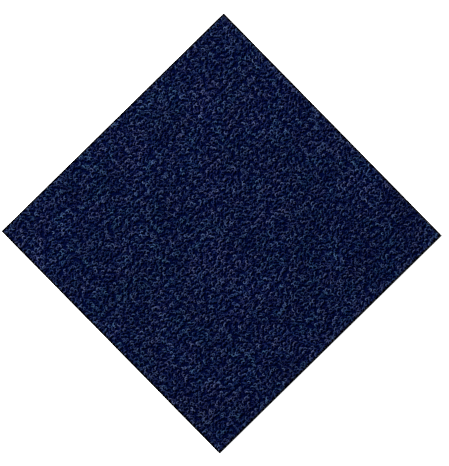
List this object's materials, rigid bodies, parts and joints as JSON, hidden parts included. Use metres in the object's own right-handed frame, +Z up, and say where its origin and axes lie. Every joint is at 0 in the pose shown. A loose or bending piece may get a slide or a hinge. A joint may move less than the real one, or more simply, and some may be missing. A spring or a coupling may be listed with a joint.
{
  "type": "carpet tile",
  "caption": "Square loop-pile carpet tile: curly heathered blue pile tufted on a flat, flexible black backing, laid edge to edge on a floor.",
  "frame": {"origin": "centre of the underside, at floor level", "axes": "+Z up, from the floor through the pile; X and Y along the cut sides, with the rows of tufts running along Y"},
  "size_m": [0.5, 0.5, 0.008],
  "materials": {
    "loop_pile": "matte looped synthetic yarn, dark navy with teal, light blue and purple-grey strands",
    "backing": "matte black filled compound with a pressed fleece underside"
  },
  "bodies": {
    "root": {"backing": "backing", "loop_pile": "loop_pile"}
  },
  "joints": []
}
